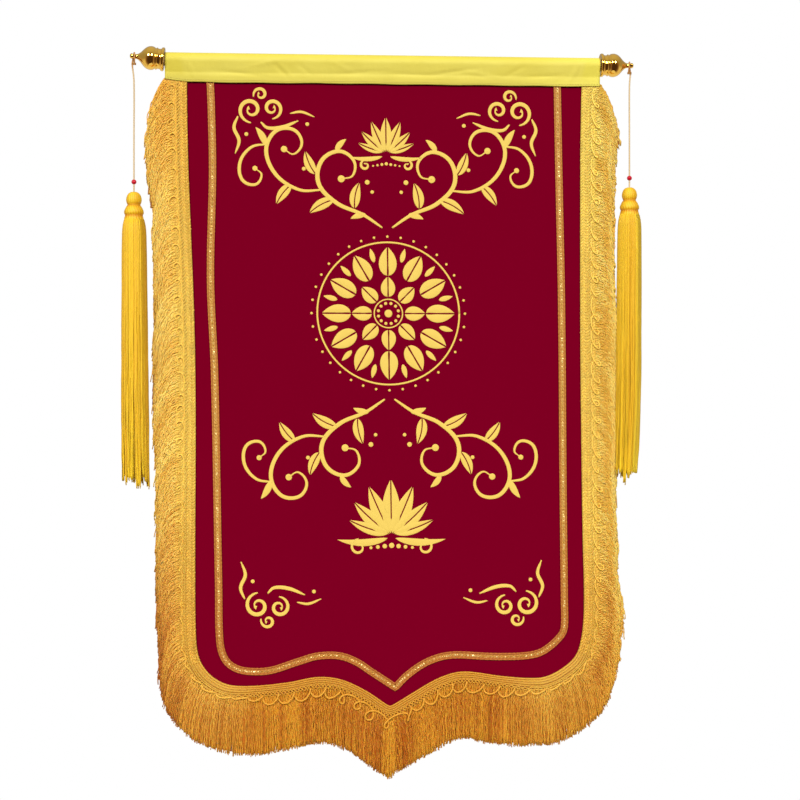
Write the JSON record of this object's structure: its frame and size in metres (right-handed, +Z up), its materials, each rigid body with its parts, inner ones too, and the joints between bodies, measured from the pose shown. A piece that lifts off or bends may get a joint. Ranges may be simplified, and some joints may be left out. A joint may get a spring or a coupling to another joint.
{
  "type": "honor banner with rod",
  "caption": "Hanging velvet award banner on a rod with turned finials: gold satin heading, sewn border tape, lobed and pointed hem with gold fringe, and a corded tassel at each end.",
  "frame": {"origin": "on the rod's axis, midway between its ends", "axes": "+X to the right along the rod as seen from the front, +Z up, and the banner's front faces -Y"},
  "size_m": [0.6422, 0.0306, 0.9017],
  "materials": {
    "rod_wood": "plain",
    "heading_satin": "satin",
    "panel_velvet": "velvet pile",
    "tape_braid": "braided, with small shiny dots",
    "fringe_yarn": "twisted rayon yarn",
    "gimp_yarn": "twisted rayon cord",
    "finial_gold": "polished gold",
    "cord_string": "twisted cord",
    "bead_red": "gloss",
    "tassel_silk": "lustrous rayon yarn"
  },
  "bodies": {
    "root": {"rod": "rod_wood", "heading": "heading_satin", "panel": "panel_velvet", "border_tape": "tape_braid", "fringe": "fringe_yarn", "fringe_scallops": "gimp_yarn", "finial_left": "finial_gold", "finial_right": "finial_gold", "cord_left": "cord_string", "cord_right": "cord_string", "bead_left": "bead_red", "bead_right": "bead_red", "tassel_left": "tassel_silk", "tassel_right": "tassel_silk"}
  },
  "joints": []
}
